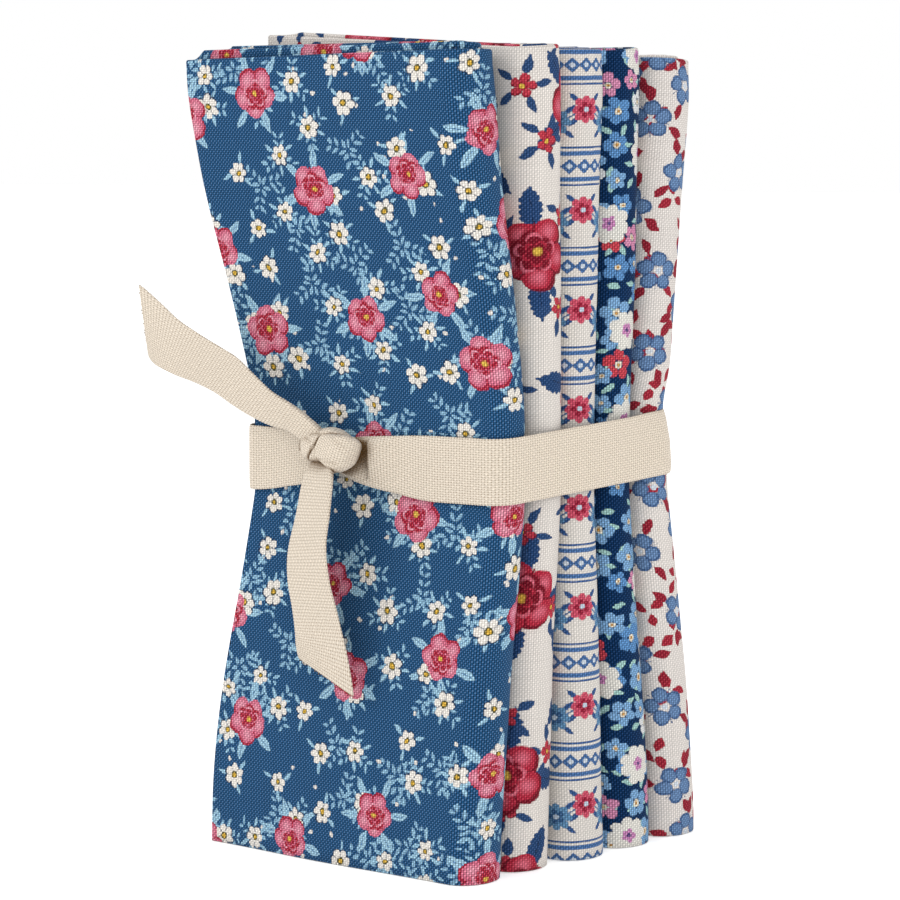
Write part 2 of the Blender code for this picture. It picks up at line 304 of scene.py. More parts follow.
class Print(Board):
    # a printed cloth: motifs are laid over the ground in order, in millimetres of cloth
    def __init__(self, name, look):
        super().__init__(name)
        self.look = look
        self.colour = paint(look["ground"])
        self.spot = self.clothSpot()
        warp, weft = cotton["warp"], cotton["weft"]
        whole = self.vector("SNAP", self.spot, (warp, weft, 1.0))
        centred = self.vector("ADD", whole, (warp / 2, weft / 2, 0))
        sockets = {0: cotton["inkStep"], 4: self.spot, 5: centred}
        inked = self.node("Mix", {"data_type": "VECTOR"}, sockets, (1,))
        inked = self.unsteady(inked, self.spot, cotton["handScale"], look["drift"])
        self.inked = self.turned(inked, look["turn"])

    def scatter(self, cell, randomness, shift, feature="F1"):
        # one of many spots about a cell apart: the way from it, and three random numbers
        scaled = self.vector("SCALE", self.vector("ADD", self.inked, (*shift, 0)), scale=1 / cell)
        sockets = {"Vector": scaled, "Scale": 1.0, "Randomness": randomness}
        settings = {"voronoi_dimensions": "2D", "feature": feature}
        chance, centre = self.node("TexVoronoi", settings, sockets, ("Color", "Position"))
        chance = self.parts(chance)
        away = self.vector("SCALE", self.vector("SUBTRACT", scaled, centre), scale=cell)
        return self.turned(away, chance[0] * math.tau), chance

    def scatterPair(self, *spread):
        # the second nearest spot and then the nearest, so that a motif may reach into the next cell
        return [self.scatter(*spread, feature) for feature in ("F2", "F1")]

    def turned(self, away, angle):
        return self.node("VectorRotate", {"rotation_type": "Z_AXIS"}, {"Vector": away, "Angle": angle})

    def spoke(self, away, count, turn=0.0):
        # the plane folded into one of several equal wedges round a centre, with x outwards
        x, y, _ = self.parts(away)
        half = math.pi / count
        angle = self.maths("WRAP", self.maths("ARCTAN2", y, x) + turn, half, -half)
        radius = self.vector("LENGTH", away)
        return self.joined(radius * self.maths("COSINE", angle), radius * self.maths("SINE", angle))

    def wrapped(self, value, reach):
        return self.maths("WRAP", value, reach, -reach)

    def inside(self, depth, soft=0.2):
        return self.maths("DIVIDE", depth, soft, clamp=True)

    def disc(self, place, out, size, soft=0.2):
        # 1 inside a disc whose middle lies out along x
        return self.inside(size - self.vector("DISTANCE", place, (out, 0, 0)), soft)

    def leaf(self, place, start, length, width, scallop=0.0):
        # 1 inside a pointed leaf that lies along x
        x, y, _ = self.parts(place)
        along = (x - start) / length
        half = along * (1 - along) * (2 * width)
        if scallop:
            half = half + scallop * abs(self.maths("SINE", x * drawing["scallopTurn"])) - scallop
        return self.inside(half - abs(y))

    def vein(self, place, start, length, width=0.13):
        x, y, _ = self.parts(place)
        return self.inside(width - abs(y), 0.1) * (x > start) * (x < start + length)

    def frond(self, place, start, length, pitch, size):
        # 1 inside pairs of slanting leaflets along x
        x, y, _ = self.parts(place)
        step = self.maths("WRAP", x - start, pitch, 0.0)
        slant = drawing["leafletSlant"]
        leaflet = self.joined((step + abs(y)) * slant, (step - abs(y)) * slant)
        shape = self.leaf(leaflet, 0.1, size, size * drawing["leafletWidth"])
        return shape * (x > start) * (x < start + length)

    def seams(self, place, count, inner, outer, width=0.2):
        # 1 on the lines between a flower's petals
        x, y, _ = self.parts(place)
        edge = abs(y) - x * math.tan(math.pi / count) + width
        radius = self.vector("LENGTH", place)
        return self.inside(edge, 0.15) * (radius > inner) * (radius < outer)

    def lay(self, mask, colour):
        self.colour = self.mix(mask, self.colour, paint(colour) if isinstance(colour, str) else colour)

    def draw(self, shape, place, motif, shown=None):
        # lays a motif, given as its colour and its sizes, on the spots where it is shown
        colour, *sizes = motif
        mask = shape(place, *sizes)
        self.lay(mask if shown is None else mask * shown, colour)

    def rounds(self, away, table):
        # rings of discs laid in order: how many, how far out, the size of each and its colour
        for count, out, size, colour in table:
            self.lay(self.disc(self.spoke(away, count) if out else away, out, size), colour)

    def blossom(self, away, size, shades):
        # a wide open flower of five round petals, size is its radius
        rim, petal, light, heart, eye = shades
        away = self.vector("SCALE", away, scale=drawing["blossomRadius"] / size)
        under = self.spoke(self.vector("ADD", away, (-0.4, 0.5, 0)), 5)
        self.lay(self.disc(under, 3.55, 2.95), rim)
        petals = self.spoke(away, 5)
        self.lay(self.disc(petals, 3.55, 2.75), petal)
        self.lay(self.disc(petals, 4.2, 1.8, 1.4), light)
        self.lay(self.disc(petals, 3.0, 1.35, 0.5) * (1 - self.disc(petals, 3.8, 1.5, 0.4)), heart)
        self.lay(self.seams(petals, 5, 2.0, 5.2, 0.26), rim)
        # a cup of smaller petals stands in the middle, turned half a petal, over its own shadow
        inner = self.spoke(away, 5, math.pi / 5)
        shadow = self.vector("ADD", away, (0.5, -0.7, 0))
        self.lay(self.disc(self.spoke(shadow, 5, math.pi / 5), 1.9, 1.9, 0.5), heart)
        self.lay(self.disc(inner, 2.5, 1.25) * (1 - self.disc(inner, 2.0, 1.15)), light)
        self.lay(self.disc(petals, 1.5, 0.9) * (1 - self.disc(petals, 1.1, 0.85)), petal)
        self.lay(self.disc(self.vector("ADD", away, (0.2, 0.3, 0)), 0, 0.95, 0.5), eye)

    def daisy(self, away, count, size, shades):
        # a small flower of narrow petals round an eye
        rim, petal, ring, eye = shades
        away = self.vector("SCALE", away, scale=drawing["daisyRadius"] / size)
        self.rounds(self.vector("ADD", away, (-0.15, 0.2, 0)), ((count, 1.75, 1.1, rim),))
        self.rounds(away, ((count, 1.8, 0.95, petal), (1, 0, 1.25, petal), (1, 0, 0.95, ring),
                           (1, 0, 0.62, eye)))

    def finish(self):
        # threads over and under each other, and shade between them
        warp, weft = cotton["warp"], cotton["weft"]
        turns = self.vector("MULTIPLY", self.spot, (math.pi / warp, math.pi / weft, 0))
        warpTurn, weftTurn, _ = self.parts(turns)
        # crowns of the threads, drawn out a little along one diagonal by the yarn's twist
        leaning = cotton["twist"] * self.maths("COSINE", warpTurn + weftTurn)
        crossing = leaning - (1 - cotton["twist"]) * self.maths("COSINE", warpTurn - weftTurn)
        warpSide, weftSide, _ = self.parts(self.vector("SINE", turns))
        solid = abs(warpSide * weftSide)
        gap = 1 - solid
        line = 1 - abs(warpSide)
        shade = cotton["threadShade"] * (gap * gap - cotton["threadMean"])
        shade = shade + cotton["lineShade"] * (line * line - cotton["lineMean"])
        # it shows less through pale ink
        light = self.vector("DOT_PRODUCT", self.colour, (0.30, 0.59, 0.11))
        relief = self.look["relief"] * (1 - cotton["paleCover"] * light)
        tone = cotton["tone"] + relief * (cotton["overUnder"] * crossing - shade)
        for stretch in cotton["streakStretches"]:
            sockets = {"Vector": self.vector("MULTIPLY", self.spot, stretch), "Scale": 2.0, "Detail": 2.0}
            streak = self.node("TexNoise", {}, sockets)
            tone = tone * (1 - cotton["streaks"] / 2 + cotton["streaks"] * streak)
        fleck = self.maths("MAXIMUM", crossing, 0.0) * self.look["fleck"]
        colour = self.vector("SCALE", self.mix(fleck, self.colour, paint(cotton["bare"])), scale=tone)
        return self.woven(colour, solid, crossing, cotton)


# Each print's look, with sizes in millimetres of cloth. drift is how far its outlines wander, relief the
# contrast of its weave, and fleck the bare cotton on the crowns. Scattered motifs give the way between
# spots, how randomly they lie and a shift, and bare is the share of spots left out. Leaves give start,
# length and width, fronds also the pitch and size of their leaflets, flowers a radius, or the least one and
# what chance adds. Blossom shades are rim, petal, light, heart and eye, daisy shades rim, petal, ring, eye.
blueLook = {
    "ground": "#1d507b", "turn": 0.35, "drift": 1.6, "relief": 1.45, "fleck": 0.06,
    "sprays": (13.0, 0.6, (0, 0)), "spray": ("#88b2cd", 0.4, 5.6, 2.1, 2.5), "sprayBare": 0.5,
    "bud": ("#e6e0d8", 6.1, 0.62), "budBare": 0.4,
    "blossoms": (27.0, 0.42, (8.0, 5.0)), "blossomSize": (4.9, 1.5),
    "blossom": ("#a82640", "#d06a84", "#e296a8", "#a81f38", "#dfba4c"),
    "leaf": ("#9dc4d9", 3.8, 6.2, 2.2), "vein": ("#3f6f9d", 5.6, 3.4),
    "daisies": (12.5, 0.55, (3.0, 1.0)), "daisySize": (2.3, 0.9),
    "daisy": ("#173557", "#efe9e0", "#4a4a2c", "#d9ae3f"), "daisyLeaf": ("#9ac3d9", 1.8, 3.4, 1.1),
    "frond": ("#8fbad3", 2.0, 3.8, 2.0, 2.3), "frondBare": 0.4,
}


def bluePrint():
    # pink blossoms in pale leaves, tossed among white daisies and fronds on mid blue
    look = blueLook
    cloth = Print("blueCotton", look)
    away, chance = cloth.scatter(*look["sprays"])
    spray = cloth.spoke(away, 3)
    cloth.draw(cloth.frond, spray, look["spray"], chance[2] > look["sprayBare"])
    cloth.draw(cloth.disc, spray, look["bud"], chance[1] > look["budBare"])
    blossoms = cloth.scatterPair(*look["blossoms"])
    for away, _ in blossoms:
        leaves = cloth.spoke(away, 6)
        cloth.draw(cloth.leaf, leaves, look["leaf"])
        cloth.draw(cloth.vein, leaves, look["vein"])
    away, chance = cloth.scatter(*look["daisies"])
    cloth.draw(cloth.leaf, cloth.spoke(away, 3, 0.4), look["daisyLeaf"])
    cloth.draw(cloth.frond, cloth.spoke(away, 3, 1.4), look["frond"], chance[2] > look["frondBare"])
    least, more = look["daisySize"]
    cloth.daisy(away, 6, least + chance[1] * more, look["daisy"])
    least, more = look["blossomSize"]
    for away, chance in blossoms:
        cloth.blossom(away, least + chance[1] * more, look["blossom"])
    return cloth.finish()


boldLook = {
    "ground": "#e6dfd8", "turn": 0.5, "drift": 1.6, "relief": 0.95, "fleck": 0.03,
    "blossoms": (31.0, 0.4, (4.0, 9.0)), "blossomSize": 8.4,
    "blossom": ("#7a1226", "#b4293f", "#d8697c", "#7c1025", "#dcb648"),
    "leaf": ("#234573", 4.6, 11.4, 5.4, 0.5), "vein": ("#142b4c", 6.4, 6.5, 0.16),
    "sprigs": (16.0, 0.5, (0, 0)), "sprigLeaf": ("#2b4a76", 2.2, 4.8, 2.1),
    "sprig": ("#861a2e", "#bf3848", "#9c2136", "#dcb648"), "sprigSize": 2.7,
}


def boldPrint():
    # large navy leaves and red blossoms on cream, with small sprigs between
    look = boldLook
    cloth = Print("boldCotton", look)
    blossoms = cloth.scatterPair(*look["blossoms"])
    for away, _ in blossoms:
        leaves = cloth.spoke(away, 4)
        cloth.draw(cloth.leaf, leaves, look["leaf"])
        cloth.draw(cloth.vein, leaves, look["vein"])
    away, _ = cloth.scatter(*look["sprigs"])
    cloth.draw(cloth.leaf, cloth.spoke(away, 5), look["sprigLeaf"])
    cloth.daisy(away, 5, look["sprigSize"], look["sprig"])
    for away, _ in blossoms:
        cloth.blossom(away, look["blossomSize"], look["blossom"])
    return cloth.finish()


bandLook = {
    "ground": "#e3ddd6", "turn": 0.0, "drift": 0.4, "relief": 0.95, "fleck": 0.03,
    "repeat": 23.0,
    "diamond": "#44699c", "diamondHalf": 1.9, "diamondReach": 1.6, "diamondRim": 1.05,
    "diamondHeart": "#cfd8e2",
    "lines": ((2.9, 0.62, "#4a70a4"), (4.3, 0.3, "#36598f")),  # place, half width and colour
    "flowerReach": 6.4,  # half the way to the next one
    "stem": "#4d6f9c", "stemHalf": 0.3, "stemSwing": 1.3,
    "flowers": ((9.6, -1.4, "#cb5067", "#98203a"), (3.2, 1.4, "#5f8db4", "#3b628e")),
    "flowerLeaf": ("#34568a", 2.2, 3.3, 1.3), "eye": "#c3d1e0",
}


def bandPrint():
    # rows of blue diamonds between lines, and small flowers staggered on either side of a fine stem
    look = bandLook
    cloth = Print("bandCotton", look)
    half, reach = look["repeat"] / 2, look["flowerReach"]
    across, up, _ = cloth.parts(cloth.inked)
    away = abs(cloth.wrapped(up, half))
    diamond = look["diamondHalf"] - away - abs(cloth.wrapped(across, look["diamondReach"]))
    cloth.lay(cloth.inside(diamond), look["diamond"])
    cloth.lay(cloth.inside(diamond - look["diamondRim"]), look["diamondHeart"])
    for place, wide, colour in look["lines"]:
        cloth.lay(cloth.inside(wide - abs(away - place)), colour)
    row = cloth.wrapped(up + half, half)
    swing = look["stemSwing"] * cloth.maths("SINE", across * (math.pi / reach))
    cloth.lay(cloth.inside(look["stemHalf"] - abs(row - swing)), look["stem"])
    for start, side, petal, heart in look["flowers"]:
        place = cloth.joined(cloth.wrapped(across + start, reach), row + side)
        cloth.draw(cloth.leaf, cloth.spoke(place, 4, math.pi / 4), look["flowerLeaf"])
        cloth.rounds(place, ((8, 2.3, 1.0, petal), (1, 0, 2.2, petal), (5, 1.2, 0.75, heart),
                             (1, 0, 0.7, look["eye"])))
    return cloth.finish()


navyLook = {
    "ground": "#022d56", "turn": 0.2, "drift": 1.6, "relief": 1.3, "fleck": 0.015,
    "leaves": (4.6, 0.6, (0, 0)), "leaf": ("#a0c8c2", -1.6, 3.4, 1.5), "leafBare": 0.15,
    "flowers": (7.2, 0.55, (2.0, 5.0)), "petalSize": (1.85, 1.2),
    "drawnIn": (1.25, 0.5),  # how much a flower is drawn in at the most, and what chance takes off
    "petals": ((0.0, "#7ba6cf"), (0.44, "#d38bad"), (0.58, "#c4424e"), (0.64, "#5b8cc0"),
               (0.90, "#e0e2e2")),
    "eye": ((1, 0, 0.8, "#e9e2cf"), (1, 0, 0.45, "#b9863f")),
    "rosettes": (20.0, 0.45, (4.0, 2.0)),
    "rosette": ((8, 3.3, 1.45, "#e6e3db"), (1, 0, 3.3, "#e6e3db"), (5, 1.0, 0.75, "#c583b4"),
                (1, 0, 0.55, "#5b3f78")),
}


def navyPrint():
    # small flowers of many colours, close together on navy
    look = navyLook
    cloth = Print("navyCotton", look)
    away, chance = cloth.scatter(*look["leaves"])
    cloth.draw(cloth.leaf, away, look["leaf"], chance[1] > look["leafBare"])
    most, less = look["drawnIn"]
    for away, chance in cloth.scatterPair(*look["flowers"]):
        petals = cloth.node("ValToRGB", {"stops": look["petals"]}, {0: chance[1]})
        away = cloth.vector("SCALE", away, scale=most - chance[2] * less)
        cloth.rounds(away, ((5, *look["petalSize"], petals), *look["eye"]))
    for away, _ in cloth.scatterPair(*look["rosettes"]):
        cloth.rounds(away, look["rosette"])
    return cloth.finish()


sprigLook = {
    "ground": "#e6dfd9", "turn": 0.6, "drift": 1.6, "relief": 0.95, "fleck": 0.03,
    "leaves": (9.5, 0.55, (0, 0)), "leaf": ("#a42839", 0.5, 3.9, 2.4), "leafBare": 0.25,
    "flowers": (14.5, 0.45, (5.0, 3.0)), "flowerLeaf": ("#972234", 4.2, 4.6, 2.3),
    "petals": ((5, 2.9, 1.9, "#46648f"), (5, 2.7, 1.5, "#6787b1")),
    "seam": ("#3f5c87", 5, 1.2, 4.4, 0.16), "eye": ("#d2dbe6", 0, 0.8),
}


def sprigPrint():
    # slate blue flowers and red leaves on cream
    look = sprigLook
    cloth = Print("sprigCotton", look)
    away, chance = cloth.scatter(*look["leaves"])
    cloth.draw(cloth.leaf, cloth.spoke(away, 3), look["leaf"], chance[1] > look["leafBare"])
    for away, _ in cloth.scatterPair(*look["flowers"]):
        cloth.draw(cloth.leaf, cloth.spoke(away, 3, 0.5), look["flowerLeaf"])
        cloth.rounds(away, look["petals"])
        cloth.draw(cloth.seams, cloth.spoke(away, 5), look["seam"])
        cloth.draw(cloth.disc, away, look["eye"])
    return cloth.finish()


# rises are how far each layer's top stands over the height at its open edge and its fold, and insets
# how far its open edge lies in, both in the order the cut runs: back, front, then inwards.
packetColumns = ("name", "slot", "print", "rightTop", "rightTie", "rightBase", "leftTop", "leftBase",
                 "risesLeft", "risesRight", "insets")
packets = [dict(zip(packetColumns, row)) for row in (
    ("packet_1", "print_blue", bluePrint, 0.0345, 0.0358, 0.0382, -0.0490, -0.0438,
     (0.0010, -0.0012, 0.0011, 0.0014, 0.0018, 0.0020), (0.0004, 0.0002, 0.0019, 0.0018, 0.0019, 0.0022),
     (0.0020, 0.0000, 0.0028, 0.0040, 0.0070, 0.0090)),
    ("packet_2", "print_bold", boldPrint, 0.0416, 0.0383, 0.0400, -0.0365, -0.0390,
     (0.0034, 0.0048, 0.0054, 0.0036, 0.0034, 0.0040), (0.0020, 0.0010, 0.0016, 0.0020, 0.0018, 0.0018),
     (0.0012, 0.0000, 0.0070, 0.0050, 0.0030, 0.0060)),
    ("packet_3", "print_bands", bandPrint, 0.0426, 0.0404, 0.0453, -0.0350, -0.0350,
     (0.0010, 0.0010, 0.0016, 0.0018, 0.0016, 0.0014), (0.0011, 0.0008, 0.0012, 0.0014, 0.0016, 0.0012),
     (0.0000, 0.0006, 0.0018, 0.0010, 0.0024, 0.0014)),
    ("packet_4", "print_navy", navyPrint, 0.0434, 0.0432, 0.0478, -0.0335, -0.0320,
     (0.0014, 0.0008, 0.0012, 0.0010, 0.0016, 0.0012), (0.0020, 0.0008, 0.0014, 0.0016, 0.0018, 0.0012),
     (0.0008, 0.0000, 0.0012, 0.0020, 0.0016, 0.0010)),
    ("packet_5", "print_sprigs", sprigPrint, 0.0470, 0.0470, 0.0514, -0.0305, -0.0290,
     (0.0002, 0.0004, 0.0009, 0.0006, 0.0008, 0.0006), (-0.0010, -0.0004, 0.0002, 0.0000, 0.0004, 0.0002),
     (0.0000, 0.0008, 0.0020, 0.0014, 0.0010, 0.0016)),
)]

folding = {
    "outerLegSteps": 34,
    "innerLegSteps": 12,
    "foldTurnSteps": {2.5: 16, 1.5: 10, 0.5: 8},
    "openTurnSteps": 8,
    "outerPlySteps": 78,
    "innerPlySteps": 26,
    "plyTurnSteps": 8,
    "innerCrowding": 1.6,  # power that sets the inner ply's rows closer at the top
    "innerTop": 0.985,  # how far up the third ply reaches, between the other two
    "insetEarly": 0.6,  # power by which an open edge draws in before it goes on to the next layer
    "climbLate": 5,  # and by which it steps up at the last
    "creaseReach": 0.010,  # height over which the three plies close up towards a folded top edge
    "creaseWidth": 0.55,
    "swell": 0.0004,  # soft unevenness of the whole stack's faces
    "swellSeed": 7,
    "foldSwell": 0.0005,  # and of its round folds, with the longest wave, the shortest and the seed
    "foldWaves": (0.12, 0.05),
    "foldSeed": 40,
    "edgeSwell": 0.0006,  # and of its open edges
    "edgeWaves": (0.10, 0.04),
    "edgeSeed": 60,
    "nip": 0.0014,  # how far the back packet's fold draws in just over the tape
    "nipPlace": 0.1035,
    "nipReach": (0.0065, 0.0110),  # above that place and below it
}
# soft troughs and ridges on the front packet's face, by the tape: x and z of both ends, depth, half width
frontCreases = (
    (-0.0012, 0.1120, -0.0004, 0.0985, 0.00120, 0.0010),
    (-0.0085, 0.1100, -0.0100, 0.1010, 0.00040, 0.0011),
    (0.0085, 0.1100, 0.0090, 0.1010, -0.00045, 0.0022),
    (-0.0215, 0.1115, -0.0190, 0.1020, -0.00040, 0.0020),
    (0.0010, 0.0850, 0.0060, 0.0700, 0.00050, 0.0018),
    (0.0180, 0.0835, 0.0200, 0.0720, -0.00040, 0.0024),
    (-0.0180, 0.0835, -0.0195, 0.0740, 0.00045, 0.0016),
    (0.0310, 0.0850, 0.0335, 0.0690, 0.00040, 0.0018),
)


def clothColumns():
    # one entry for each column of the cloth, in the order the cut runs through the layers:
    # share of the way to the fold, place across the packet, stand-out at fold and open side, and the layer
    # number that its inset and its height follow; an open edge draws in first and steps up last
    order = bundle["layerOrder"]
    columns = []
    for number, place in enumerate(order):
        steps = folding["outerLegSteps"] if number < 2 else folding["innerLegSteps"]
        shares = np.linspace(0, 1, steps + 1)
        if number % 2:
            shares = shares[::-1]
        columns += [(share, place, 0, 0, number, number) for share in shares]
        if number == len(order) - 1:
            break
        following = order[number + 1]
        centre = (place + following) / 2
        radius = abs(place - following) / 2
        toward = 1 if following > place else -1
        atFold = number % 2 == 0
        steps = folding["foldTurnSteps"][radius] if atFold else folding["openTurnSteps"]
        for step in range(1, steps):
            angle = math.pi * step / steps
            out = radius * math.sin(angle)
            turned = eased(step / steps)
            layer = number + (turned if atFold else turned ** folding["insetEarly"])
            climb = number + (turned if atFold else turned ** folding["climbLate"])
            across = centre - toward * radius * math.cos(angle)
            columns.append((int(atFold), across, out if atFold else 0, 0 if atFold else out, layer, climb))
    return np.array(columns).T


def clothRows():
    # one entry for each row, up the outer ply, over, down the inner one and up between them:
    # share of the height, lift at a turn, place across the layer's thickness, ply number
    outer, inner, turn = folding["outerPlySteps"], folding["innerPlySteps"], folding["plyTurnSteps"]
    rows = [(share, 0, 1, 0) for share in np.linspace(0, 1, outer + 1)]
    for step in range(1, turn):
        angle = math.pi * step / turn
        rows.append((1, math.sin(angle), math.cos(angle), 1))
    crowding = folding["innerCrowding"]
    rows += [(1 - share ** crowding, 0, -1, 2) for share in np.linspace(0, 1, inner + 1)]
    for step in range(1, turn // 2):
        angle = math.pi * step / (turn // 2)
        rows.append((0, -math.sin(angle) / 2, -0.5 - math.cos(angle) / 2, 3))
    rows += [(share * folding["innerTop"], 0, 0, 4) for share in np.linspace(0, 1, inner + 1)]
    return np.array(rows).T[:, :, None]


def layerCentre(packet, index, columns, z):
    # where the middle of each layer runs, at heights z (rows) for each column
    share, place, foldOut, openOut, layer, _ = columns
    numbers = np.arange(bundle["layers"])
    openPitch = packetThickness(0, z) / bundle["layers"]
    foldPitch = packetThickness(1, z) / bundle["layers"]
    above = z > bundle["tieZ"]
    tied = squeeze(z)
    right = between(np.where(above, packet["rightTop"], packet["rightBase"]), packet["rightTie"], tied)
    loose = 1 - tied
    bulge = waves(z, 0, folding["foldSeed"] + index, *folding["foldWaves"])
    right = right + folding["foldSwell"] * bulge * loose
    if index == bundle["packets"] - 1:
        past = z - folding["nipPlace"]
        right = right - folding["nip"] * np.exp(-(past / np.where(past > 0, *folding["nipReach"])) ** 2)
    foldX = right - bundle["foldDepth"] * foldPitch * bundle["layers"] / 2
    openY = acrossStack(index, place, 0, z)
    leftTie = between(*bundle["leftTie"], openY / bundle["stackTie"] + 0.5)
    left = between(np.where(above, packet["leftTop"], packet["leftBase"]), leftTie, tied)
    left = left + openPitch * (1 + bundle["layerFill"]) / 2
    left = left + np.interp(layer, numbers, packet["insets"]) * loose
    edge = waves(z, layer * 0.02, folding["edgeSeed"] + index, *folding["edgeWaves"])
    left = left + folding["edgeSwell"] * edge * loose
    x = between(left, foldX, share) + bundle["foldDepth"] * foldPitch * foldOut - openPitch * openOut
    y = acrossStack(index, place, share, z)
    y = y + folding["swell"] * waves(x, z, folding["swellSeed"]) * loose
    if index == 0:
        y = y + creased(frontCreases, x, z) * eased(1 - np.abs(layer - 1))
    return x, y


def makePacket(packet, index):
    columns = clothColumns()
    upShare, lift, offset, ply = clothRows()
    share, climb = columns[0], columns[5]
    numbers = np.arange(bundle["layers"])
    riseLeft = np.interp(climb, numbers, packet["risesLeft"])
    riseRight = np.interp(climb, numbers, packet["risesRight"])
    top = bundle["height"] + between(riseLeft, riseRight, share)
    half = cotton["thickness"] / 2
    spread = bundle["layerFill"] / 2 / bundle["layers"]
    topSpread = (packetThickness(share, top) * spread - half) * folding["creaseWidth"]
    baseSpread = packetThickness(share, 0 * top) * spread - half
    low = np.where(ply < 1, half, half + baseSpread / 2)
    z = low + upShare * (top - topSpread - low) + lift * np.where(ply < 2, topSpread, baseSpread)
    closing = between(folding["creaseWidth"], 1, eased((top - z) / folding["creaseReach"]))
    wide = (packetThickness(share, z) * spread - half) * closing
    wide = np.where(ply == 1, topSpread, wide)
    x, y = layerCentre(packet, index, columns, z)
    alongX, alongY = np.gradient(x, axis=1), np.gradient(y, axis=1)
    length = np.hypot(alongX, alongY)
    points = np.stack([x - alongY / length * wide * offset, y + alongX / length * wide * offset, z], -1)
    # cloth coordinates: across from the middle of the outer fold, and up the cut
    stepAcross = np.hypot(np.diff(x, axis=1), np.diff(y, axis=1))
    along = np.concatenate([np.zeros((len(x), 1)), np.cumsum(stepAcross, axis=1)], 1)
    middle = folding["outerLegSteps"] + folding["foldTurnSteps"][2.5] // 2
    along = along - along[:, middle:middle + 1]
    stepUp = np.linalg.norm(np.diff(points, axis=0), axis=-1)
    up = np.concatenate([np.zeros((1, x.shape[1])), np.cumsum(stepUp, axis=0)], 0)
    made = gridObject(packet["name"] + "Cloth", points, np.stack([along, up], -1), packet["print"]())
    thick = made.modifiers.new("thickness", "SOLIDIFY")
    thick.thickness = cotton["thickness"]
    thick.offset = 0
    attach(made, "root")
    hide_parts(packet["name"])


tape = {
    "width": 0.015,
    "bandLength": 0.255,  # once round the bundle
    "tailLength": 0.052,
    "thickness": 0.0008,
    "standOff": 0.0003,
    "rise": 0.062,  # slope of the band, in z for each metre of y
    "foldCorner": 0.0058,
    "openCorner": 0.0019,
    "knotX": -0.0085,
    "gather": 0.0076,  # how much narrower the band is at the knot, and how far up it is drawn
    "gatherLift": 0.0020,
    "gatherReach": 0.011,
    "gatherEnd": (0.014, 0.027),
    "rimReach": 0.012,  # how far from the knot the band's edges curl off the cloth
    "rimLift": 0.0040,
    "rimRoll": 0.55,  # how far their last bit rolls back
    "rimCurl": 0.72,  # and where it begins, as a share of half the width
    "puckerX": 0.0001,  # a fold across the band, just past the knot, with a dark gap before it
    "puckerLift": 0.0031,
    "puckerReach": (0.0008, 0.0050),  # before its crest and past it
    "puckerSide": (0.4, 0.55),  # its middle and half width, as shares of half the band's width
    "pleat": 0.00024,
    "pleatTurn": 7,  # radians of pleats over half the band's width
    "nip": 0.0006,  # how far the band is drawn in at the back right corner, most at the top
    "nipFrom": (0.036, 0.008),  # where that begins in x and y, and over how far it grows
    "nipOver": (0.006, 0.016),
    "tailPleat": 0.000384,
    "tailPleatTurn": 0.0011,  # metres to a radian of pleat
    "tailPleatReach": 0.011,
    "step": 0.00024,
    "scallop": 0.00018,  # unevenness of the woven edges
    "frayCount": 26,
    "frayReach": 0.0007,
    "frayRoot": 0.0006,  # how far inside the tail a thread end starts
    "frayBend": 0.25,
    "fraySteps": 3,
    "frayThread": 0.00022,
}
# a strip's middle, its width and thickness, and in degrees how its width leans up and turns to the front
stripColumns = ("x", "y", "z", "width", "thick", "lean", "turn")
knotRootRows = (
    (-0.0168, -0.0338, 0.0966, 0.0040, 0.0034, 84, 0),
    (-0.0152, -0.0343, 0.0962, 0.0062, 0.0058, 84, 0),
    (-0.0122, -0.0346, 0.0960, 0.0074, 0.0074, 80, 0),
    (-0.0085, -0.0344, 0.0956, 0.0070, 0.0070, 78, 0),
    (-0.0055, -0.0343, 0.0952, 0.0064, 0.0062, 78, 0),
    (-0.0040, -0.0343, 0.0952, 0.0040, 0.0036, 78, 0),
)
# the wrap comes over the root from its left edge and turns back into the stack on its right
knotRows = (
    (-0.0108, -0.0368, 0.0963, 0.0062, 0.0028, 64, 0),
    (-0.0092, -0.0370, 0.0961, 0.0068, 0.0031, 64, 0),
    (-0.0077, -0.0374, 0.0958, 0.0073, 0.0033, 65, 0),
    (-0.0063, -0.0377, 0.0954, 0.0081, 0.0034, 67, 0),
    (-0.0050, -0.0377, 0.0949, 0.0088, 0.0033, 69, 0),
    (-0.0039, -0.0374, 0.0947, 0.0089, 0.0032, 69, 0),
    (-0.0030, -0.0365, 0.0947, 0.0082, 0.0032, 68, 0),
    (-0.0026, -0.0353, 0.0949, 0.0066, 0.0032, 68, 0),
    (-0.0029, -0.0341, 0.0952, 0.0044, 0.0031, 70, 0),
    (-0.0036, -0.0332, 0.0955, 0.0020, 0.0028, 74, 0),
)
# creases in the knot, along it and up from its middle line, then depth and half width
knotCreases = (
    (0.0012, -0.0034, 0.0075, -0.0022, 0.00030, 0.00045),
    (0.0034, 0.0036, 0.0085, 0.0020, 0.00028, 0.00045),
)
rootCreases = (
    (0.0008, 0.0012, 0.0024, -0.0034, 0.00080, 0.00035),
    (0.0052, -0.0028, 0.0084, 0.0030, 0.00070, 0.00030),
    (0.0022, 0.0030, 0.0056, 0.0012, 0.00035, 0.00040),
)
tuckRows = (
    (-0.0118, -0.0350, 0.0983, 0.0012, 0.0024, 84, 0),
    (-0.0104, -0.0353, 0.0989, 0.0024, 0.0040, 84, 0),
    (-0.0084, -0.0354, 0.0991, 0.0027, 0.0044, 80, 0),
    (-0.0060, -0.0352, 0.0986, 0.0026, 0.0040, 74, 0),
    (-0.0038, -0.0348, 0.0980, 0.0014, 0.0022, 72, 0),
)
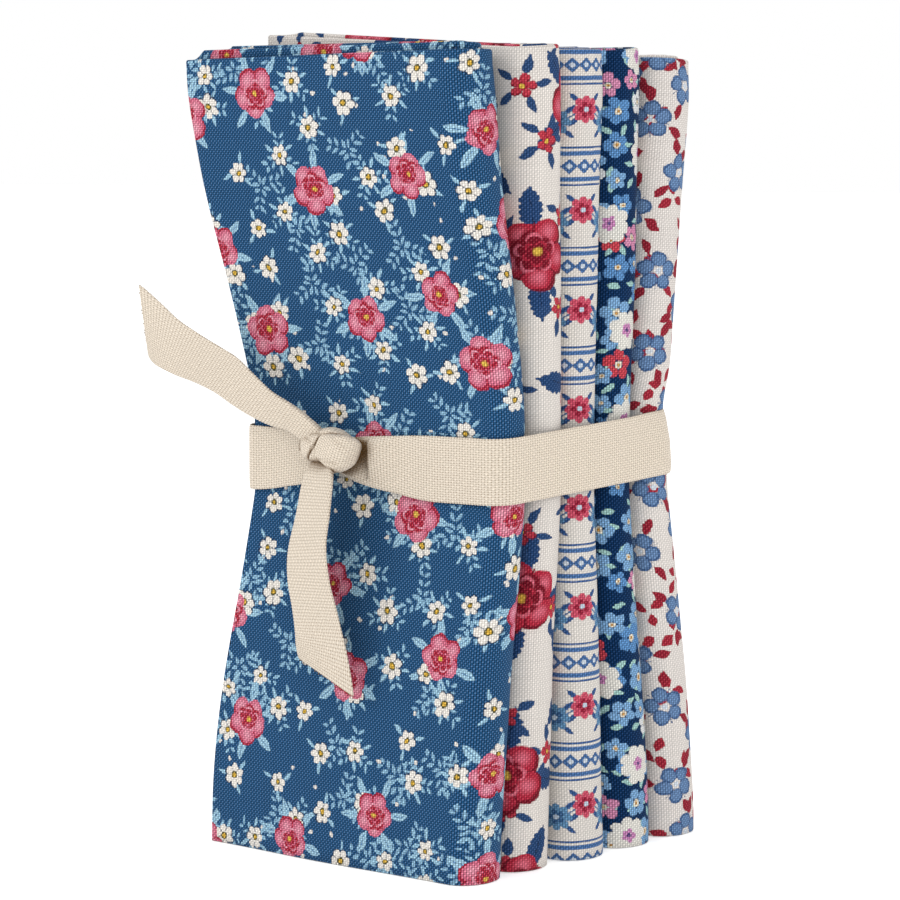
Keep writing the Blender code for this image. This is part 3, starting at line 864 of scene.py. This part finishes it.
upperTailRows = (
    (-0.0100, -0.0355, 0.0957, 0.0056, 0.0022, 50, 6),
    (-0.0165, -0.0372, 0.1012, 0.0060, 0.0018, 46, 8),
    (-0.0205, -0.0385, 0.1032, 0.0080, 0.0015, 45, 10),
    (-0.0253, -0.0394, 0.1055, 0.0094, 0.0012, 43, 12),
    (-0.0299, -0.0403, 0.1087, 0.0110, 0.0010, 43, 12),
    (-0.0343, -0.0411, 0.1120, 0.0122, 0.0008, 44, 12),
    (-0.0391, -0.0418, 0.1143, 0.0130, 0.0008, 45, 13),
    (-0.0447, -0.0424, 0.1166, 0.0138, 0.0008, 50, 13),
    (-0.0499, -0.0430, 0.1193, 0.0146, 0.0008, 61, 14),
    (-0.0561, -0.0436, 0.1240, 0.0180, 0.0008, 86, 16),
)
hangingTailRows = (
    (-0.0098, -0.0342, 0.0958, 0.0060, 0.0018, 2, 8),
    (-0.0099, -0.0362, 0.0924, 0.0068, 0.0016, 2, 14),
    (-0.0100, -0.0387, 0.0882, 0.0112, 0.0013, 2, 20),
    (-0.0102, -0.0405, 0.0807, 0.0136, 0.0010, 5, 22),
    (-0.0110, -0.0417, 0.0726, 0.0150, 0.0008, 8, 20),
    (-0.0104, -0.0420, 0.0654, 0.0150, 0.0008, 4, 16),
    (-0.0088, -0.0420, 0.0590, 0.0150, 0.0008, 4, 13),
    (-0.0072, -0.0424, 0.0530, 0.0150, 0.0008, 2, 9),
    (-0.0046, -0.0434, 0.0437, 0.0178, 0.0008, -24, 5),
)

canvas = {
    "pick": 0.74,  # millimetres between threads along the tape, and across it
    "rib": 0.56,
    "uneven": 0.35,  # how far the threads wander, in millimetres
    "unevenScale": 0.8,  # and how many times they turn back in one
    "colour": "#eee1cf",
    "hole": "#8f7047",  # the pinholes between threads
    "holeCover": 0.75,
    "gap": "#6a4710",  # painted shade: the dark colour mixed in where the knot's turns leave deep gaps
    "gapDepth": 0.0035,
    "paintedGapShade": 2.3,
    "gapSamples": 6,
    "tone": 0.71,
    "crown": 0.10,  # how much lighter the threads' crowns are
    "longLine": 0.16,  # and how much darker the lines between them, along the tape and across it
    "crossLine": 0.10,
    "speck": 0.16,
    "speckScale": 1.1,
    "bump": 0.6,
    "bumpDepth": 0.0002,
    "crownBump": 0.4,
    "roughness": 0.88,
    "shine": 0.2,
    "sheen": 0.15,
}


def tapeCotton():
    # bare canvas tape: rows of pinholes between plump threads, with painted shade in the knot's deep gaps
    board = Board("tapeCotton")
    spot = board.clothSpot()
    place = board.unsteady(spot, spot, canvas["unevenScale"], canvas["uneven"])
    turns = (math.pi / canvas["pick"], math.pi / canvas["rib"], 0)
    along, across, _ = board.parts(board.vector("SINE", board.vector("MULTIPLY", place, turns)))
    crossing = along * across
    gapAlong = 1 - abs(along)
    gapAcross = 1 - abs(across)
    hole = board.maths("MULTIPLY", gapAlong * gapAcross, gapAlong + gapAcross, clamp=True)
    speck = board.node("TexNoise", {}, {"Vector": spot, "Scale": canvas["speckScale"], "Detail": 3.0})
    tone = canvas["tone"] + canvas["crown"] * crossing - canvas["longLine"] * gapAcross * gapAcross
    tone = tone - canvas["crossLine"] * gapAlong * gapAlong + canvas["speck"] * speck
    cloth = board.mix(canvas["holeCover"] * hole, paint(canvas["colour"]), paint(canvas["hole"]))
    # painted shade: the colour darkens towards the gap colour wherever ambient occlusion finds the surface
    # closed in
    settings = {"samples": canvas["gapSamples"]}
    openness = board.node("AmbientOcclusion", settings, {"Distance": canvas["gapDepth"]}, ("AO",))
    deep = board.maths("MULTIPLY", 1 - openness, canvas["paintedGapShade"], clamp=True)
    cloth = board.mix(deep, cloth, paint(canvas["gap"]))
    return board.woven(board.vector("SCALE", cloth, scale=tone), abs(crossing), crossing, canvas)


def smoothCurve(table, step):
    # rows on a smooth curve through the given ones, about a step apart along the strip
    table = np.array(table, float)
    result = []
    for number in range(len(table) - 1):
        before = table[max(number - 1, 0)]
        start, end = table[number], table[number + 1]
        after = table[min(number + 2, len(table) - 1)]
        count = max(2, round(np.linalg.norm(end[:3] - start[:3]) / step))
        for t in np.arange(count)[:, None] / count:
            result.append(0.5 * (2 * start + (end - before) * t
                                 + (2 * before - 5 * start + 4 * end - after) * t ** 2
                                 + (3 * start - before - 3 * end + after) * t ** 3))
    return np.array(result + [table[-1]])


def sweepStrip(name, centres, across, normals, widths, thicks, material, press, loop=False,
               points=26, wide=0.25, deep=0.6):
    # a strip with a flat, full section, pushed along its normals by press(along, side, face) in metres
    angle = math.tau * (np.arange(points) + 0.5) / points
    cosine, sine = np.cos(angle), np.sin(angle)
    faceLine = centres - normals * thicks[:, None] / 2
    steps = np.linalg.norm(np.diff(faceLine, axis=0), axis=1)
    along = np.concatenate([[0], np.cumsum(steps)])
    edge = tape["scallop"] * np.abs(np.sin(math.pi * along * 1000 / canvas["pick"]))
    side = (widths / 2 + edge)[:, None] * np.sign(cosine) * np.abs(cosine) ** wide
    face = thicks[:, None] / 2 * np.sign(sine) * np.abs(sine) ** deep
    face = face + press(along[:, None], side, face)
    places = centres[:, None] + across[:, None] * side[..., None] + normals[:, None] * face[..., None]
    # cloth coordinates run along the strip and round its section
    ring = np.hypot(np.diff(side, axis=1, append=side[:, :1]), np.diff(face, axis=1, append=face[:, :1]))
    around = np.concatenate([np.zeros((len(side), 1)), np.cumsum(ring, axis=1)], 1)
    around = around - around[:, -1:] / 2
    if loop:
        closing = np.linalg.norm(centres[0] - centres[-1])
        along = np.append(along, along[-1] + closing)
        around = np.concatenate([around, around[:1]])
    uv = np.stack([np.broadcast_to(along[:, None], around.shape), around], -1)
    return gridObject(name, places, uv, material, loop=loop, tube=True)


def creasedPress(creases):
    # presses soft troughs into the side that faces out
    return lambda along, side, face: creased(creases, along, side) * (face < 0)


def tailPress(along, side, face):
    # pleats that fade out away from the knot
    fade = np.exp(-along / tape["tailPleatReach"])
    return tape["tailPleat"] * np.cos(side / tape["tailPleatTurn"]) * fade


def stripRows(table):
    # a table's rows on a smooth curve: its middle line, the way across it, its widths and thicknesses
    rows = smoothCurve(table, tape["step"])
    column = dict(zip(stripColumns, rows.T))
    lean, turn = np.radians(column["lean"]), np.radians(column["turn"])
    across = np.stack([np.cos(lean) * np.cos(turn), -np.sin(turn), np.sin(lean) * np.cos(turn)], -1)
    return rows[:, :3], across, column["width"], column["thick"]


def tableStrip(name, table, material, press, **section):
    centres, across, widths, thicks = stripRows(table)
    normals = np.cross(across, np.gradient(centres, axis=0))
    normals /= np.linalg.norm(normals, axis=1, keepdims=True)
    return sweepStrip(name, centres, across, normals, widths, thicks, material, press, **section)


def makeFray(name, table, material, seed):
    # short thread ends that stand out of a tail's cut edge
    rng = np.random.default_rng(seed)
    centres, acrosses, widths, _ = stripRows(table)
    end, across = centres[-1], acrosses[-1]
    ahead = end - centres[-12]  # over the last few millimetres
    ahead = ahead / np.linalg.norm(ahead)
    facing = np.cross(across, ahead)
    curve = bpy.data.curves.new(name, "CURVE")
    curve.dimensions = "3D"
    curve.bevel_depth = tape["frayThread"] / 2
    curve.bevel_resolution = 1
    for place in np.linspace(-0.49, 0.49, tape["frayCount"]):
        length = rng.uniform(0.3, 1.0) * tape["frayReach"]
        bend = rng.normal(0, tape["frayBend"], 2) * length
        spline = curve.splines.new("POLY")
        spline.points.add(tape["fraySteps"])
        root = end + across * place * widths[-1] - ahead * tape["frayRoot"]
        for number, point in enumerate(spline.points):
            share = number / tape["fraySteps"]
            spot = root + ahead * (tape["frayRoot"] + length) * share
            spot = spot + (across * bend[0] + facing * bend[1]) * share ** 2
            point.co = (*(spot + np.array(bundle["standShift"])), 1)
    curve.materials.append(material)
    return placed(name, curve)


def bandRoute():
    # the band's centre line from above: arcs round four corners and straight runs between them
    half = bundle["stackTie"] / 2
    standOff = tape["standOff"] + tape["thickness"] / 2
    fold, opening = tape["foldCorner"], tape["openCorner"]
    first, last = packets[0]["rightTie"], packets[-1]["rightTie"]
    corners = (
        (bundle["leftTie"][0] + opening, -half + opening, opening + standOff),
        (first - fold, -half + fold, fold + standOff),
        (last - fold, half - fold, fold + standOff),
        (bundle["leftTie"][1] + opening, half - opening, opening + standOff),
    )
    headings = []
    for number, (x, y, radius) in enumerate(corners):
        nextX, nextY, nextRadius = corners[(number + 1) % 4]
        span = math.hypot(nextX - x, nextY - y)
        headings.append(math.atan2(nextY - y, nextX - x) - math.asin((nextRadius - radius) / span))
    route = []
    for number, (x, y, radius) in enumerate(corners):
        arriving, leaving = headings[number - 1], headings[number]
        turn = (leaving - arriving) % math.tau
        arcSteps = max(6, round(turn * radius / tape["step"]))
        for step in range(arcSteps + 1):
            angle = arriving + turn * step / arcSteps - math.pi / 2
            route.append((x + radius * math.cos(angle), y + radius * math.sin(angle)))
        nextX, nextY, nextRadius = corners[(number + 1) % 4]
        angle = leaving - math.pi / 2
        end = (nextX + nextRadius * math.cos(angle), nextY + nextRadius * math.sin(angle))
        start = route[-1]
        runs = round(math.dist(start, end) / tape["step"])
        route += [(between(start[0], end[0], run / runs), between(start[1], end[1], run / runs))
                  for run in range(1, runs)]
    return np.array(route)


def makeBand(material):
    route = bandRoute()
    x, y = route.T
    centres = np.stack([x, y, bundle["tieZ"] + tape["rise"] * y], -1)
    along = np.roll(route, -1, axis=0) - np.roll(route, 1, axis=0)
    along /= np.linalg.norm(along, axis=1, keepdims=True)
    normals = np.stack([along[:, 1], -along[:, 0], 0 * x], -1)
    up = np.broadcast_to(np.array([0, 0, 1.0]), normals.shape)
    front = y < -bundle["stackTie"] / 2
    fromKnot = np.where(front, np.abs(x - tape["knotX"]), 1)
    nearEnd, farEnd = tape["gatherEnd"]
    pull = np.exp(-fromKnot / tape["gatherReach"]) * (1 - eased((fromKnot - nearEnd) / (farEnd - nearEnd)))
    widths = tape["width"] - tape["gather"] * pull
    centres[:, 2] += tape["gatherLift"] * pull
    thicks = np.full(len(x), tape["thickness"])

    def bandPress(along, side, face):
        # near the knot the edges curl outwards and fine pleats run along
        near = np.exp(-(fromKnot[:, None] / tape["rimReach"]) ** 2)
        share = side / (widths[:, None] / 2)
        past = (x - tape["puckerX"])[:, None]
        reach = np.where(past < 0, *tape["puckerReach"])
        middle, half = tape["puckerSide"]
        pucker = np.exp(-(past / reach) ** 2 - ((share - middle) / half) ** 2)
        pucker = tape["puckerLift"] * pucker * front[:, None]
        pleats = near * tape["pleat"] * (1 + np.cos(share * tape["pleatTurn"]))
        curl = eased((np.abs(share) - tape["rimCurl"]) / (1 - tape["rimCurl"]))
        rim = tape["rimLift"] * share ** 2 * (1 - tape["rimRoll"] * curl)
        corner = 1
        for place, start, over in zip((x, y), tape["nipFrom"], tape["nipOver"]):
            corner = corner * eased((place - start) / over)
        drawn = tape["nip"] * corner[:, None] * (1 + 1.5 * share + share ** 2)
        return np.maximum(near * rim, pucker) + pleats - drawn

    return sweepStrip("tapeBand", centres, up, normals, widths, thicks, material, bandPress, loop=True)


def makeTape():
    material = tapeCotton()
    band = makeBand(material)
    pressed = creasedPress(rootCreases)
    root = tableStrip("tapeKnotRoot", knotRootRows, material, pressed, points=64, wide=0.6, deep=0.8)
    pressed = creasedPress(knotCreases)
    knot = tableStrip("tapeKnot", knotRows, material, pressed, points=64, wide=0.5, deep=0.75)
    tuck = tableStrip("tapeTuck", tuckRows, material, creasedPress(()), wide=0.7, deep=0.8)
    upper = tableStrip("tapeUpperTail", upperTailRows, material, tailPress)
    hanging = tableStrip("tapeHangingTail", hangingTailRows, material, tailPress)
    upperFray = makeFray("tapeUpperFray", upperTailRows, material, 3)
    hangingFray = makeFray("tapeHangingFray", hangingTailRows, material, 4)
    for piece in (band, knot, root, tuck, upper, hanging, upperFray, hangingFray):
        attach(piece, "root")
    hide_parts("tape")


studio = {
    "cameraPlace": (0.4097, -0.6427, 0.1674),
    "cameraYaw": -32.41,
    "cameraPitch": -5.59,
    "lens": 128,
    "sensor": 36,
    "clip": (0.05, 30),
    "floorReach": 8.0,
    "floorColour": (0.93, 0.93, 0.93, 1),
    "floorGlow": 0.35,
    "white": (1, 1, 1, 1),
    "sky": 1.0,
    "keyPlace": (-0.9, -1.1, 0.9),
    "keySize": 0.6,
    "keyPower": 6.0,
    "fillPlace": (1.3, -0.5, 0.9),
    "fillSize": 1.2,
    "fillPower": 5.0,
}


def makeCamera():
    data = bpy.data.cameras.new("camera")
    data.lens = studio["lens"]
    data.sensor_width = studio["sensor"]
    data.clip_start, data.clip_end = studio["clip"]
    camera = placed("camera", data)
    camera.location = Vector(studio["cameraPlace"]) + Vector(bundle["standShift"])
    pitch, yaw = studio["cameraPitch"], studio["cameraYaw"]
    camera.rotation_euler = (math.radians(90 + pitch), 0, -math.radians(yaw))
    bpy.context.scene.camera = camera


def makeLight(name, place, size, power):
    data = bpy.data.lights.new(name, "AREA")
    data.size = size
    data.energy = power
    light = placed(name, data)
    light.location = place
    aim = Vector((0, 0, bundle["height"] / 2)) - Vector(place)
    light.rotation_euler = aim.to_track_quat("-Z", "Y").to_euler()


def makeFloor():
    board = Board("floorPaint")
    board.feed(board.shader, {"Base Color": studio["floorColour"], "Roughness": 0.9,
                              "Specular IOR Level": 0.1, "Emission Color": studio["white"],
                              "Emission Strength": studio["floorGlow"]})
    reach = studio["floorReach"]
    mesh = bpy.data.meshes.new("floor")
    mesh.from_pydata([(-reach, -reach, 0), (reach, -reach, 0), (reach, reach, 0), (-reach, reach, 0)],
                     [], [(0, 1, 2, 3)])
    mesh.materials.append(board.material)
    placed("floor", mesh)


def makeStudio():
    makeFloor()
    world = bpy.data.worlds.new("studio")
    bpy.context.scene.world = world
    world.use_nodes = True
    sky = world.node_tree.nodes["Background"]
    sky.inputs["Color"].default_value = studio["white"]
    sky.inputs["Strength"].default_value = studio["sky"]
    for name in ("key", "fill"):
        makeLight(name + "Light", studio[name + "Place"], studio[name + "Size"], studio[name + "Power"])
    bpy.context.scene.view_settings.view_transform = "Standard"


makeCamera()
makeStudio()
print("camera and studio are set")
for index, packet in enumerate(packets):
    makePacket(packet, index)
    print(packet["name"], "is folded")
makeTape()
print("tape is tied")
